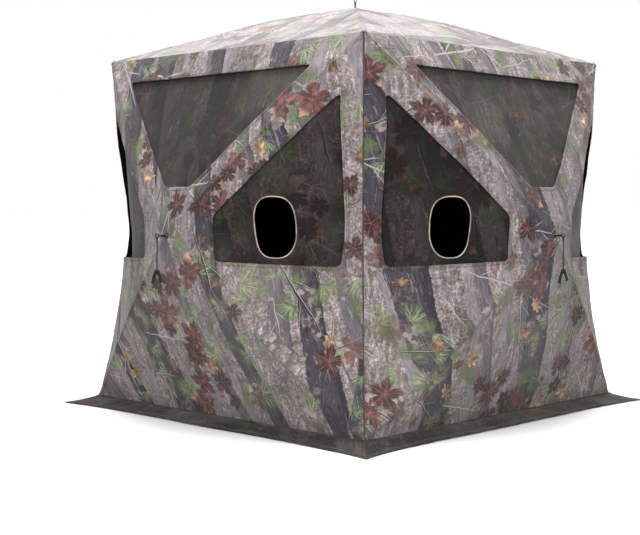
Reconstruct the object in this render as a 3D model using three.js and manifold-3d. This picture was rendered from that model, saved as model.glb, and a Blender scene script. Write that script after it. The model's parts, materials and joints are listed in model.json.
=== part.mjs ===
// Pop-up ground blind: five push-out hubs (four walls and the roof), each with four fibreglass
// poles, carry a fabric shell with window openings, window panels, a door and a ground skirt.
// Millimetres, +Z up, origin on the ground under the middle of the floor.
// The front wall faces -Y and the right wall faces +X.
import * as THREE from "three";
import Module from "manifold-3d";
import { mergeVertices } from "three/addons/utils/BufferGeometryUtils.js";

const wasm = await Module();
wasm.setup();

// ---- driving dimensions ----------------------------------------------------------------------
const TOP_HALF_SIDE = 889; // half the side of the square at the eaves
const BASE_HALF_SIDE = 935; // half the side of the square at the skirt fold
const EAVE_Z = 1760;
const FOLD_Z = 40; // the skirt fold
const HUB_Z = 878; // height of the middle of each wall
const PEAK_Z = 2032; // highest point of the roof fabric
const WALL_BULGE = 325; // how far a wall hub pushes its wall out of the wall's plane
const BULGE_POWER = 1.3; // 1 gives flat pyramid faces, more gives arched ones
const SEAM_PULL = 106; // how far a corner seam is drawn in at its deepest
const SEAM_POWER = 4.5; // how tightly that draw-in keeps to the seam
const SKIN = 3; // fabric thickness
const GAP = 0.3; // clearance between neighbouring pieces

const SKIRT_HALF_SIDE = 1030; // outer edge of the skirt, middle of a side
const SKIRT_CORNER_REACH = 34; // how much further out the skirt's corners run

const POLE_R = 4.5;
const POLE_CORNER_GAP = 72; // from a pole's tip to the corner of its wall
const HINGE_R = 32; // from the hub's axis to a pole's pivot
const HINGE_DEPTH = 34; // from the fabric's apex in to the pole pivots
const HUB_R = 50;
const HUB_CORE_R = 19;
const HUB_THICKNESS = 20;
const SLOT_WIDTH = 10.6;
const POST_R = 4;
const CAP_R = 14;
const HUB_HOLE_R = 16; // hole in the fabric round the hub's post
const RING_R = 8.5; // eye ring, to the middle of its wire
const RING_WIRE_R = 2.2;
const RING_REACH = 54; // from the apex out to the eye ring's centre

const PULL_CORD_R = 2.5;
const PULL_CORD_LENGTH = 148;
const PULL_STRAP_HEIGHT = 62;
const PULL_STRAP_WIDTH = 90;

const PANEL_DEPTH = 20; // from the wall's outer face in to a window panel
const PANEL_THICKNESS = 3;
const PANEL_MARGIN = 22; // how far a panel runs on past its opening
const SIDE_WINDOW = [
  [244, 95],
  [250, -108],
  [760, -118],
  [797, 626],
];
const TOP_WINDOW = [
  [-92, 222],
  [92, 222],
  [640, 756],
  [-640, 756],
];
const PORT = { u: 506, v: 48, halfWidth: 82, halfHeight: 132 };
// Each wall has one face port, in the window on this side of its hub.
const PORT_SIDE = { front: 1, right: -1, back: 1, left: 1 };
const GEAR_POCKET = [
  [-170, -640],
  [170, -640],
  [170, -470],
  [-170, -470],
];
const GEAR_POCKET_DEPTH = 12;
const DOOR = [
  [-404, 285],
  [-404, -270],
  [-742, -580],
  [-752, 600],
];
const DOOR_GAP = 4;
const DOOR_TAPE = 24; // width of the zipper tape on the three sides that unzip
const SLIDER_U = -384; // the zip slider's place beside the door's inner edge
const SLIDER_V = -240;

const CORNER_POCKET = { outer: 879, size: 22, height: 22, top: 1752 };
const FOOT_POCKET = { outer: 926, size: 30, height: 30, top: 30 };

// ---- materials -------------------------------------------------------------------------------
const FABRIC = { color: 0x8a8178, roughness: 0.85, metalness: 0 };
const PANEL_FABRIC = { color: 0x4f4a45, roughness: 0.9, metalness: 0 };
const WEBBING = { color: 0x17171a, roughness: 0.8, metalness: 0 };
const MOULDING = { color: 0x1c1d1f, roughness: 0.5, metalness: 0.1 };
const FIBREGLASS = { color: 0x26282a, roughness: 0.4, metalness: 0 };
const STEEL = { color: 0x9a9ca0, roughness: 0.35, metalness: 0.9 };

// ---- wall surface ----------------------------------------------------------------------------
const TILT = Math.atan2(BASE_HALF_SIDE - TOP_HALF_SIDE, EAVE_Z - FOLD_Z);
const RISE = (EAVE_Z - HUB_Z) / Math.cos(TILT); // up the wall's plane, hub to eave
const DROP = (HUB_Z - FOLD_Z) / Math.cos(TILT); // down the wall's plane, hub to skirt fold
const halfWidth = (v) => TOP_HALF_SIDE + (RISE - v) * Math.sin(TILT);
const PLANE_DISTANCE = halfWidth(0); // from the blind's axis to the wall's plane at hub height

// Wall directions: u along the wall, v up its plane, n out of it.
const U = new THREE.Vector3(1, 0, 0);
const V = new THREE.Vector3(0, Math.sin(TILT), Math.cos(TILT));
const N = new THREE.Vector3(0, -Math.cos(TILT), Math.sin(TILT));
const WALL_CENTRE = new THREE.Vector3(0, -PLANE_DISTANCE, HUB_Z);
const WALL_FRAME = new THREE.Matrix4().makeBasis(U, V, N).setPosition(WALL_CENTRE);

// Hub frames: origin at the fabric's apex, Z out of the wall or roof.
const WALL_APEX = new THREE.Vector3(0, 0, WALL_BULGE).applyMatrix4(WALL_FRAME);
const WALL_HUB_FRAME = new THREE.Matrix4().makeBasis(U, V, N).setPosition(WALL_APEX);
const ROOF_HUB_FRAME = new THREE.Matrix4().makeTranslation(0, 0, PEAK_Z);

function seamPull(v) {
  const fromTop = (RISE - v) / (RISE + DROP);
  return SEAM_PULL * Math.sin(Math.PI * Math.pow(fromTop, 1.25));
}

// A point of the wall's fabric, "depth" in from its outer face. s and g run from -1 to 1 across
// and up the wall. The inner faces of two walls meet on the diagonal plane, like their outer ones.
function wallPoint(s, g, depth) {
  const v = g > 0 ? g * RISE : g * DROP;
  const edge = Math.max(Math.abs(s), Math.abs(g));
  const across = Math.abs(g) < 1 ? Math.max(0, (Math.abs(s) - Math.abs(g)) / (1 - Math.abs(g))) : 0;
  const pull = seamPull(v) * Math.pow(across, SEAM_POWER);
  const n = WALL_BULGE * (1 - Math.pow(edge, BULGE_POWER)) - pull;
  const u = s * halfWidth(v) - Math.sign(s) * pull * Math.cos(TILT);
  const point = new THREE.Vector3(u, v, n).applyMatrix4(WALL_FRAME);
  point.x *= (-point.y - depth) / -point.y;
  point.y += depth;
  return point;
}

// A point of the skirt: "out" runs from 0 at the fold to 1 at the skirt's outer edge.
function skirtPoint(s, out, depth) {
  const reach = SKIRT_HALF_SIDE + SKIRT_CORNER_REACH * Math.pow(Math.abs(s), 6);
  const y = BASE_HALF_SIDE + (reach - BASE_HALF_SIDE) * out - depth * (1 - out);
  const z = SKIN + (FOLD_Z - SKIN) * Math.pow(1 - out, 1.6) - depth * out;
  return new THREE.Vector3(s * y, -y, z);
}

function roofPoint(s, g, depth) {
  const side = TOP_HALF_SIDE - depth;
  const edge = Math.max(Math.abs(s), Math.abs(g));
  const z = EAVE_Z + (PEAK_Z - EAVE_Z) * (1 - Math.pow(edge, BULGE_POWER)) - depth;
  return new THREE.Vector3(s * side, g * side, z);
}

// ---- mesh helpers ----------------------------------------------------------------------------
function toManifold(geometry) {
  const plain = geometry.index ? geometry.toNonIndexed() : geometry;
  const bare = new THREE.BufferGeometry();
  bare.setAttribute("position", plain.getAttribute("position"));
  const merged = mergeVertices(bare, 1e-4);
  const mesh = new wasm.Mesh({
    numProp: 3,
    vertProperties: new Float32Array(merged.attributes.position.array),
    triVerts: new Uint32Array(merged.index.array),
  });
  return new wasm.Manifold(mesh);
}

function toGeometry(solid) {
  const mesh = solid.getMesh();
  const indexed = new THREE.BufferGeometry();
  indexed.setAttribute("position", new THREE.BufferAttribute(new Float32Array(mesh.vertProperties), 3));
  indexed.setIndex(new THREE.BufferAttribute(new Uint32Array(mesh.triVerts), 1));
  const geometry = indexed.toNonIndexed();
  geometry.computeVertexNormals();
  return geometry;
}

// A closed sheet between two equal grids of points, whose columns run left to right seen from
// outside and whose rows run upwards. The hub is at the middle column of middleRow.
function sheet(outer, inner, middleRow) {
  const rows = outer.length;
  const columns = outer[0].length;
  const corners = [];
  const triangle = (a, b, c) => corners.push(a, b, c);
  // The split of a cell follows the folds, which run from the middle of the sheet to its corners.
  const cell = (a, b, c, d, rising) => {
    if (rising) {
      triangle(a, b, c);
      triangle(a, c, d);
    } else {
      triangle(a, b, d);
      triangle(b, c, d);
    }
  };
  for (let i = 0; i < rows - 1; i++) {
    for (let j = 0; j < columns - 1; j++) {
      const rising = (i < middleRow) === (j < (columns - 1) / 2);
      cell(outer[i][j], outer[i][j + 1], outer[i + 1][j + 1], outer[i + 1][j], rising);
      cell(inner[i][j + 1], inner[i][j], inner[i + 1][j], inner[i + 1][j + 1], !rising);
    }
  }
  const rim = [];
  for (let j = 0; j < columns; j++) rim.push([0, j]);
  for (let i = 1; i < rows; i++) rim.push([i, columns - 1]);
  for (let j = columns - 2; j >= 0; j--) rim.push([rows - 1, j]);
  for (let i = rows - 2; i > 0; i--) rim.push([i, 0]);
  rim.forEach(([i, j], k) => {
    const [m, n] = rim[(k + 1) % rim.length];
    cell(inner[i][j], inner[m][n], outer[m][n], outer[i][j], true);
  });
  return new THREE.BufferGeometry().setFromPoints(corners);
}

function outlineOf(points) {
  const shape = new THREE.Shape();
  points.forEach(([x, y], i) => (i ? shape.lineTo(x, y) : shape.moveTo(x, y)));
  shape.closePath();
  return shape;
}

// The corners of a convex outline, moved outwards by a distance. Corners may run either way round.
function grown(points, distance) {
  const area = points.reduce((sum, [x, y], i) => {
    const [p, q] = points[(i + 1) % points.length];
    return sum + (x * q - p * y) / 2;
  }, 0);
  const turn = Math.sign(area);
  const lines = points.map(([x, y], i) => {
    const [p, q] = points[(i + 1) % points.length];
    const length = Math.hypot(p - x, q - y);
    const normal = [(turn * (q - y)) / length, (-turn * (p - x)) / length];
    return { normal, offset: normal[0] * x + normal[1] * y + distance };
  });
  return points.map((_, i) => {
    const a = lines[(i + points.length - 1) % points.length];
    const b = lines[i];
    const det = a.normal[0] * b.normal[1] - a.normal[1] * b.normal[0];
    return [
      (a.offset * b.normal[1] - b.offset * a.normal[1]) / det,
      (a.normal[0] * b.offset - b.normal[0] * a.offset) / det,
    ];
  });
}

const mirrored = (points) => points.map(([u, v]) => [-u, v]).reverse();

// A straight prism on an outline in the wall's plane, which runs right through the wall.
function wallPrism(shape) {
  const options = { depth: 900, bevelEnabled: false, curveSegments: 4 };
  const geometry = new THREE.ExtrudeGeometry(shape, options);
  geometry.translate(0, 0, -350);
  geometry.applyMatrix4(WALL_FRAME);
  return toManifold(geometry);
}

function portShape(side) {
  const { u, v, halfWidth: a, halfHeight: b } = PORT;
  const shape = new THREE.Shape();
  const c = side * u;
  const r = a * 0.9;
  shape.moveTo(c - a, v - b + r);
  shape.quadraticCurveTo(c - a, v - b, c, v - b);
  shape.quadraticCurveTo(c + a, v - b, c + a, v - b + r);
  shape.lineTo(c + a, v + b - r);
  shape.quadraticCurveTo(c + a, v + b, c, v + b);
  shape.quadraticCurveTo(c - a, v + b, c - a, v + b - r);
  shape.closePath();
  return shape;
}

// ---- wall fabric -----------------------------------------------------------------------------
const STATIONS = [0, 0.2, 0.4, 0.6, 0.75, 0.86, 0.94, 1];
const ACROSS = [...STATIONS.slice(1).map((x) => -x).reverse(), ...STATIONS];
const SKIRT_STEPS = [1, 0.5];
const EDGE_S = 1 - GAP / BASE_HALF_SIDE; // leaves the gap along the corner seams
const TOP_G = 1 - (SKIN + 1) / RISE; // leaves the gap under the roof's edge

function wallSheet(outerDepth, innerDepth, withSkirt) {
  const grid = (depth) => {
    const rows = ACROSS.map((g) => {
      const level = Math.min(g, TOP_G);
      return ACROSS.map((s) => wallPoint(s * EDGE_S, level, depth));
    });
    if (!withSkirt) return rows;
    const skirt = SKIRT_STEPS.map((out) => ACROSS.map((s) => skirtPoint(s * EDGE_S, out, depth)));
    return [...skirt, ...rows];
  };
  const middleRow = (ACROSS.length - 1) / 2 + (withSkirt ? SKIRT_STEPS.length : 0);
  return toManifold(sheet(grid(outerDepth), grid(innerDepth), middleRow));
}

function hubHole(frame) {
  const geometry = new THREE.CylinderGeometry(HUB_HOLE_R, HUB_HOLE_R, 120, 16);
  geometry.rotateX(Math.PI / 2);
  geometry.applyMatrix4(frame);
  return toManifold(geometry);
}

const sideWindow = (side) => (side > 0 ? SIDE_WINDOW : mirrored(SIDE_WINDOW));

function wallFabric(windows) {
  let wall = wallSheet(0, SKIN, true).subtract(hubHole(WALL_HUB_FRAME));
  for (const outline of windows) {
    wall = wall.subtract(wallPrism(outlineOf(outline)));
  }
  return toGeometry(wall);
}

function roofFabric() {
  const grid = (depth) => ACROSS.map((g) => ACROSS.map((s) => roofPoint(s, g, depth)));
  const middleRow = (ACROSS.length - 1) / 2;
  const roof = toManifold(sheet(grid(0), grid(SKIN), middleRow));
  return toGeometry(roof.subtract(hubHole(ROOF_HUB_FRAME)));
}

function windowPanel(outline, portSide) {
  const layer = wallSheet(PANEL_DEPTH, PANEL_DEPTH + PANEL_THICKNESS, false);
  let panel = layer.intersect(wallPrism(outlineOf(grown(outline, PANEL_MARGIN))));
  if (portSide) panel = panel.subtract(wallPrism(portShape(portSide)));
  return toGeometry(panel);
}

function gearPocket() {
  const layer = wallSheet(PANEL_DEPTH, PANEL_DEPTH + GEAR_POCKET_DEPTH, false);
  return toGeometry(layer.intersect(wallPrism(outlineOf(GEAR_POCKET))));
}

// ---- door ------------------------------------------------------------------------------------
function doorPanel() {
  const layer = wallSheet(0, SKIN, false);
  return toGeometry(layer.intersect(wallPrism(outlineOf(DOOR))));
}

// The zipper tape: a band on the inside of the wall, round the three sides that unzip.
function doorTape() {
  const layer = wallSheet(SKIN + GAP, SKIN + GAP + 2, false);
  const band = grown(DOOR, DOOR_GAP + DOOR_TAPE);
  const opening = grown(DOOR, DOOR_GAP);
  // The opening is carried on past the hinge side, which leaves that side with no tape.
  const open = opening.map(([u, v], i) => (i < 2 ? [u, v] : [u - 200, v + (i === 2 ? -180 : 180)]));
  const tape = layer.intersect(wallPrism(outlineOf(band))).subtract(wallPrism(outlineOf(open)));
  return toGeometry(tape);
}

// ---- hub, with its post and eye ring ---------------------------------------------------------
function lathe(profile, segments) {
  const points = profile.map(([r, y]) => new THREE.Vector2(r, y));
  const geometry = new THREE.LatheGeometry(points, segments);
  geometry.rotateX(Math.PI / 2);
  return geometry;
}

function hub(corners) {
  const top = HUB_THICKNESS / 2 - HINGE_DEPTH;
  const bottom = top - HUB_THICKNESS;
  const ringFoot = RING_REACH - RING_R;
  const profile = [
    [0, bottom - 8],
    [12, bottom - 8],
    [HUB_CORE_R - 2, bottom - 4],
    [HUB_CORE_R, bottom],
    [HUB_R - 3, bottom],
    [HUB_R, bottom + 3],
    [HUB_R, top - 6],
    [HUB_CORE_R + 4, top],
    [POST_R + 3, top + 6],
    [POST_R, top + 8],
    [POST_R, -3],
    [CAP_R - 2, -3],
    [CAP_R, -1],
    [CAP_R, 2],
    [CAP_R - 3, 5],
    [POST_R, 6],
    [POST_R, ringFoot - 2],
    [POST_R - 1.5, ringFoot],
    [0, ringFoot],
  ];
  let body = toManifold(lathe(profile, 16));
  for (let k = 0; k < 4; k++) {
    const reach = HUB_R + 10 - HUB_CORE_R - 1;
    const slot = new THREE.BoxGeometry(reach, SLOT_WIDTH, HUB_THICKNESS + 20);
    slot.translate(HUB_CORE_R + 1 + reach / 2, 0, -HINGE_DEPTH);
    slot.rotateZ(corners(k).angle());
    body = body.subtract(toManifold(slot));
  }
  const ring = new THREE.TorusGeometry(RING_R, RING_WIRE_R, 6, 16);
  ring.rotateX(Math.PI / 2);
  ring.translate(0, 0, RING_REACH);
  return toGeometry(body.add(toManifold(ring)));
}

// The corner that pole k runs to, in the hub's frame. Each pole lies under a fold of the fabric,
// so the angle between two poles follows the shape of the wall.
function wallCorner(k) {
  const upper = k < 2;
  const side = k === 0 || k === 3 ? 1 : -1;
  const half = upper ? TOP_HALF_SIDE : BASE_HALF_SIDE;
  return new THREE.Vector2(side * half, upper ? RISE : -DROP);
}

function roofCorner(k) {
  const side = k === 0 || k === 3 ? 1 : -1;
  return new THREE.Vector2(side * TOP_HALF_SIDE, k < 2 ? TOP_HALF_SIDE : -TOP_HALF_SIDE);
}

// A pole from its pivot in the hub to its tip by the corner pocket, in the hub's frame, whose
// origin is the fabric's apex and whose Z points out of the wall.
function pole(corner, bulge) {
  const reach = corner.length();
  const start = new THREE.Vector2(HINGE_R, -HINGE_DEPTH);
  const end = new THREE.Vector2(reach - POLE_CORNER_GAP, -bulge);
  const length = start.distanceTo(end);
  const slope = Math.atan2(end.y - start.y, end.x - start.x);
  const root = 6; // how far the pole's fitting runs back past its pivot
  const profile = [
    [0, -root],
    [POLE_R - 1, -root],
    [POLE_R, 1 - root],
    [POLE_R, length - 1],
    [POLE_R - 1, length],
    [0, length],
  ];
  const geometry = new THREE.LatheGeometry(
    profile.map(([r, y]) => new THREE.Vector2(r, y)),
    8,
  );
  geometry.rotateZ(-Math.PI / 2);
  geometry.rotateY(-slope);
  geometry.translate(start.x, 0, start.y);
  geometry.rotateZ(corner.angle());
  return geometry;
}

// ---- pull cord and handle, hanging from the eye ring -----------------------------------------
function pull() {
  const top = RING_R + RING_WIRE_R + 0.6;
  const bottom = top + PULL_CORD_LENGTH;
  const cord = new THREE.CylinderGeometry(PULL_CORD_R, PULL_CORD_R, PULL_CORD_LENGTH + 4, 8);
  cord.rotateX(Math.PI / 2);
  cord.translate(0, 0, -top - PULL_CORD_LENGTH / 2 - 2);
  const half = PULL_STRAP_WIDTH / 2;
  const strapOutline = [
    [-8, -bottom],
    [-half, -bottom - PULL_STRAP_HEIGHT],
    [-half + 22, -bottom - PULL_STRAP_HEIGHT],
    [0, -bottom - 24],
    [half - 22, -bottom - PULL_STRAP_HEIGHT],
    [half, -bottom - PULL_STRAP_HEIGHT],
    [8, -bottom],
  ];
  const options = { depth: 5, bevelEnabled: false };
  const strap = new THREE.ExtrudeGeometry(outlineOf(strapOutline), options);
  strap.translate(0, 0, -2.5);
  strap.rotateX(Math.PI / 2);
  return toGeometry(toManifold(cord).add(toManifold(strap)));
}

// The door's zipper slider: a small body with a pull tab, outside the fabric.
function slider() {
  const outline = [
    [-5, -9],
    [5, -9],
    [7, 6],
    [3, 9],
    [2, 32],
    [-2, 32],
    [-3, 9],
    [-7, 6],
  ];
  const options = { depth: 4, bevelEnabled: true, bevelSize: 0.8, bevelThickness: 0.8, bevelSegments: 1 };
  return new THREE.ExtrudeGeometry(outlineOf(outline), options);
}

// ---- scene graph -----------------------------------------------------------------------------
function node(parent, name, geometry, look) {
  const mesh = new THREE.Mesh(geometry, new THREE.MeshStandardMaterial(look));
  mesh.name = name;
  parent.add(mesh);
  return mesh;
}

function subgroup(parent, name) {
  const made = new THREE.Group();
  made.name = name;
  parent.add(made);
  return made;
}

const blind = new THREE.Group();
blind.name = "pop_up_ground_blind";

const POLE_NAMES = ["upper_right", "upper_left", "lower_left", "lower_right"];
const WALLS = ["front", "right", "back", "left"];

function addHub(parent, place, frame, bulge, corners) {
  const assembly = subgroup(parent, place + "_hub_assembly");
  assembly.applyMatrix4(frame);
  node(assembly, "hub_" + place, hub(corners), MOULDING);
  POLE_NAMES.forEach((name, k) => {
    node(assembly, "pole_" + place + "_" + name, pole(corners(k), bulge), FIBREGLASS);
  });
  return assembly;
}

// A pull hangs straight down from its hub's eye ring.
function addPull(assembly, place) {
  const hanger = subgroup(assembly, place + "_pull_hanger");
  hanger.position.z = RING_REACH;
  hanger.rotation.x = TILT - Math.PI / 2;
  node(hanger, "pull_" + place, pull(), WEBBING);
}

function addDoor(wall) {
  node(wall, "door", doorPanel(), FABRIC);
  node(wall, "door_zip_tape", doorTape(), WEBBING);
  const edge = Math.abs(SLIDER_U) / PLANE_DISTANCE;
  const height = WALL_BULGE * (1 - Math.pow(edge, BULGE_POWER));
  const track = subgroup(wall, "door_zip_track");
  track.applyMatrix4(WALL_FRAME);
  const body = node(track, "door_zip_slider", slider(), STEEL);
  body.position.set(SLIDER_U, SLIDER_V, height + 6);
}

WALLS.forEach((place, k) => {
  const wall = subgroup(blind, place + "_side");
  wall.rotation.z = (k * Math.PI) / 2;
  const hasDoor = place === "back";
  const leftOpening = hasDoor ? grown(DOOR, DOOR_GAP) : sideWindow(-1);
  const openings = [TOP_WINDOW, sideWindow(1), leftOpening];
  node(wall, "wall_" + place, wallFabric(openings), FABRIC);
  node(wall, "window_" + place + "_top", windowPanel(TOP_WINDOW, 0), PANEL_FABRIC);
  for (const [name, side] of hasDoor ? [["_right", 1]] : [["_right", 1], ["_left", -1]]) {
    const portSide = PORT_SIDE[place] === side ? side : 0;
    const panel = windowPanel(sideWindow(side), portSide);
    node(wall, "window_" + place + name, panel, PANEL_FABRIC);
  }
  node(wall, "gear_pocket_" + place, gearPocket(), WEBBING);
  addPull(addHub(wall, place, WALL_HUB_FRAME, WALL_BULGE, wallCorner), place);
  if (hasDoor) addDoor(wall);
});

const roof = subgroup(blind, "roof_side");
node(roof, "roof", roofFabric(), FABRIC);
addHub(roof, "roof", ROOF_HUB_FRAME, PEAK_Z - EAVE_Z, roofCorner);

// Pockets that hold the pole tips, inside the corners at the eaves and at the ground.
const CORNERS = ["front_right", "back_right", "back_left", "front_left"];
CORNERS.forEach((place, k) => {
  const corner = subgroup(blind, place + "_corner");
  corner.rotation.z = (k * Math.PI) / 2;
  const block = ({ outer, size, height, top }, name) => {
    const geometry = new THREE.BoxGeometry(size, size, height);
    geometry.translate(outer - size / 2, size / 2 - outer, top - height / 2);
    node(corner, name + "_" + place, geometry, WEBBING);
  };
  block(CORNER_POCKET, "corner_pocket");
  block(FOOT_POCKET, "foot_pocket");
});

export default blind;
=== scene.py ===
import json
import math
from functools import reduce

import bpy
import numpy as np
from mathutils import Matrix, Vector
from mathutils.geometry import delaunay_2d_cdt


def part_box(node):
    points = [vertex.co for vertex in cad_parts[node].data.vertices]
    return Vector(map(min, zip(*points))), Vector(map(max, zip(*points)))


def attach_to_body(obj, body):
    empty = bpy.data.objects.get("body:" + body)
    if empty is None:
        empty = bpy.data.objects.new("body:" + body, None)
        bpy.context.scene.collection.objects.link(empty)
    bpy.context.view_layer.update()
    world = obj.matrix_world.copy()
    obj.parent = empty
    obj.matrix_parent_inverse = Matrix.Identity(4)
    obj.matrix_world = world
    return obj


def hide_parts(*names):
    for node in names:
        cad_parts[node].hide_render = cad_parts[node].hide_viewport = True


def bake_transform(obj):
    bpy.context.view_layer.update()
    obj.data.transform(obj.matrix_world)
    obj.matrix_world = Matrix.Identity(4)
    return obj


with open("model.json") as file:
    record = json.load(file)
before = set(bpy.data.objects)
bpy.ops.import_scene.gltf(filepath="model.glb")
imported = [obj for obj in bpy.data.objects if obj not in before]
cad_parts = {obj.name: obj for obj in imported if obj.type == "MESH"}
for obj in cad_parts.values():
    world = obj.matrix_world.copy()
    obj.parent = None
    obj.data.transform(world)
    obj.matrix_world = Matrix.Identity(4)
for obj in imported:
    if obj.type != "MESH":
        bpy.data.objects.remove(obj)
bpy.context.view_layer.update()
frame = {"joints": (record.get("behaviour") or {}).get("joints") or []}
JOINTS = {j["name"]: j for j in frame["joints"]}
X, UP = np.array([1.0, 0, 0]), np.array([0, 0, 1.0])
FULL_TURN = 2 * math.pi

# ---- sizes in metres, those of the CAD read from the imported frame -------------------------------
SKIN = 0.003  # the CAD's cloth
CLOTH = 0.0018  # the cloth drawn here
roof_lo, roof_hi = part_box("roof")
TOP = roof_hi.x  # half the square at the eaves
EAVE = roof_lo.z + SKIN
N_OUT = -np.array(JOINTS["hub_front_push"]["axis"])  # square to the front wall's plane
TILT = math.atan2(N_OUT[2], -N_OUT[1])
V_UP = np.array([0.0, math.sin(TILT), math.cos(TILT)])
RING_REACH = 0.054  # from the cloth's apex to the middle of the hub's eye ring
HUB_REACH = 0.0647
APEX = np.array(JOINTS["pull_front_swing"]["pos_m"]) - RING_REACH * N_OUT
BULGE = 0.325  # how far a hub stands out of its wall's plane
CENTRE = APEX - BULGE * N_OUT
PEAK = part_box("hub_roof")[1].z - HUB_REACH
FOLD = 0.040  # height of the fold between wall and skirt
RISE = (EAVE - CENTRE[2]) / math.cos(TILT)
DROP = (CENTRE[2] - FOLD) / math.cos(TILT)
BASE = TOP + (RISE + DROP) * math.sin(TILT)
POWER = 1.3  # the cloth's profile from hub to border
PULL, PULL_POWER = 0.106, 4.5  # how far the corner seams are drawn in, and how locally
SAG = 0.026
ROOF_EASE = 0.014
SKIRT, SKIRT_REACH = 1.030, 0.034
POLE_GAP = 0.072
PANEL_DEPTH, PANEL_MARGIN, PANEL_SLACK = 0.020, 0.034, 0.036
POCKET_DEPTH = 0.021
DOOR_GAP = 0.004
EAVE_ROLL = 0.005
HINGE_R, HINGE_DEPTH = 0.032, 0.034
HUB_R, HUB_CORE, HUB_THICKNESS = 0.050, 0.019, 0.020
RING_R, RING_WIRE = 0.0085, 0.0022
CORD_LENGTH = 0.148
GRID = 0.022  # spacing of the cloth's vertices
STEP = GRID * 0.8
HEM, HEM_LIFT, HEM_RADIUS = 0.016, 0.0011, 0.030
PATCH, PATCH_LIFT, NOTCH = 0.045, 0.0028, 0.014
SLEEVE, SLEEVE_LIFT = 0.030, 0.0014
DIAGONAL = int(1.25 / STEP)

WALLS = ("front", "right", "back", "left")
SIDE_WINDOW = [(0.244, 0.095), (0.250, -0.108), (0.760, -0.118), (0.797, 0.626)]
TOP_WINDOW = [(-0.092, 0.222), (0.092, 0.222), (0.640, 0.756), (-0.640, 0.756)]
DOOR = [(-0.404, 0.285), (-0.404, -0.270), (-0.742, -0.580), (-0.752, 0.600)]
PORT = (0.506, 0.048, 0.082, 0.132)
PORT_SIDE = {"front": "right", "right": "left", "back": "right", "left": "right"}
SECTORS = {
    "top": ((TOP, RISE), (-TOP, RISE)),
    "left": ((-TOP, RISE), (-BASE, -DROP)),
    "bottom": ((-BASE, -DROP), (BASE, -DROP)),
    "right": ((BASE, -DROP), (TOP, RISE)),
}
# The side sectors' share of the way out, 1 on the corner seams, is SIDE_A * |u| + SIDE_B * v.
SIDE_A, SIDE_B = np.linalg.solve([[TOP, RISE], [BASE, -DROP]], [1, 1])
HELD = 1 - SIDE_A * PULL  # cloth further out than this share stays put when its hub is pushed in


# ---- small sums --------------------------------------------------------------------------------
def unit(v):
    v = np.asarray(v, float)
    return v / np.maximum(np.linalg.norm(v, axis=-1, keepdims=True), 1e-12)


def run_of(points):
    """Running length along a path."""
    return np.concatenate([[0], np.cumsum(np.linalg.norm(np.diff(points, axis=0), axis=1))])


def clip(x):
    return np.clip(x, 0, 1)


def waves(a, b, seed, scale):
    """Smooth noise, about -1 to 1, from a few crossed sine waves."""
    rng = np.random.default_rng(seed)
    total = np.zeros(np.broadcast(a, b).shape)
    for _ in range(7):
        angle = rng.uniform(0, FULL_TURN)
        f = FULL_TURN / scale * rng.uniform(0.6, 1.7)
        phase = rng.uniform(0, FULL_TURN)
        bend = 0.9 * np.sin(f * 0.37 * (a * np.sin(angle) - b * np.cos(angle)) + 1.7 * phase)
        total = total + np.sin(f * (a * np.cos(angle) + b * np.sin(angle)) + phase + bend)
    return total / 3.6


def turn(p, k):
    """Points of the front wall, turned to wall k."""
    c, s = [(1, 0), (0, 1), (-1, 0), (0, -1)][k]
    x, y, z = np.moveaxis(np.asarray(p, float), -1, 0)
    return np.stack([x * c - y * s, x * s + y * c, z], -1)


def circle(centre, x, y, radius, steps):
    """Points round a circle; x and y are directions in its plane."""
    turns = FULL_TURN * np.arange(steps) / steps
    return [centre + (x * math.cos(t) + y * math.sin(t)) * radius for t in turns]


# ---- fabric surface ----------------------------------------------------------------------------
def shares(uq, v):
    """How far out a point lies, 0 at the hub and 1 on the border: up or down, and across."""
    return np.where(v > 0, v / RISE, -v / DROP), SIDE_A * np.abs(uq) + SIDE_B * v


def towards_seam(up, side):
    """0 at the poles, 1 on the corner seam."""
    return clip((side - up) / np.maximum(1 - up, 1e-6))


def shift(uq, v):
    """How far a seam's draw-in moves a point of the wall, and its share of the way out."""
    up, side = shares(uq, v)
    down = clip((RISE - v) / (RISE + DROP))
    pull = PULL * np.sin(np.pi * down**1.25) * towards_seam(up, side) ** PULL_POWER
    return pull, np.maximum(side, up)


def undrawn(points):
    """An outline given by where it ends up, as places on the cloth before the seams draw it in."""
    u, v = np.array(points, float).T
    uq = u.copy()
    for _ in range(12):
        uq = u + np.sign(u) * shift(uq, v)[0] * math.cos(TILT)
    return list(zip(uq, v))


def wrinkles(uq, v, wall):
    """Cloth relief: slack between poles, folds fanning out of the corners, droop."""
    up, side = shares(uq, v)
    edge = np.maximum(up, side)
    fade = clip((1 - edge) / 0.05) * clip(edge / 0.08)
    off_pole = clip(np.abs(side - up) / 0.12)
    out = 0.0040 * waves(uq, v, 11 + wall, 0.42) * fade * off_pole
    out += 0.0013 * waves(uq, v, 31 + wall, 0.15) * fade
    for cu, cv, folds, amount in ((BASE, -DROP, 30, 0.0065), (TOP, RISE, 24, 0.0075)):
        for corner in (-1, 1):
            du, dv = uq - corner * cu, v - cv
            r = np.hypot(du, dv)
            angle = np.arctan2(np.abs(dv), np.abs(du))
            fan = np.sin(folds * angle + 1.3 * np.sin(3 * angle + wall + corner))
            out += amount * fan * np.exp(-r / 0.22) * clip(r / 0.10) * fade
    droop = np.exp(-(((v + DROP) / 0.20) ** 2)) * np.sin(uq * 21 + 2 * np.sin(uq * 9 + wall))
    return out + 0.0035 * droop * fade


def sag(uq, v, wall):
    """How far the cloth beside a lower corner seam hangs in; the door's wall is taut."""
    if WALLS[wall] == "back":
        return 0.0
    across = towards_seam(*shares(uq, v))
    down = (RISE - v) / (RISE + DROP)
    return SAG * 4 * across * (1 - across) * np.sin(np.pi * clip((down - 0.45) / 0.55))


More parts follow.
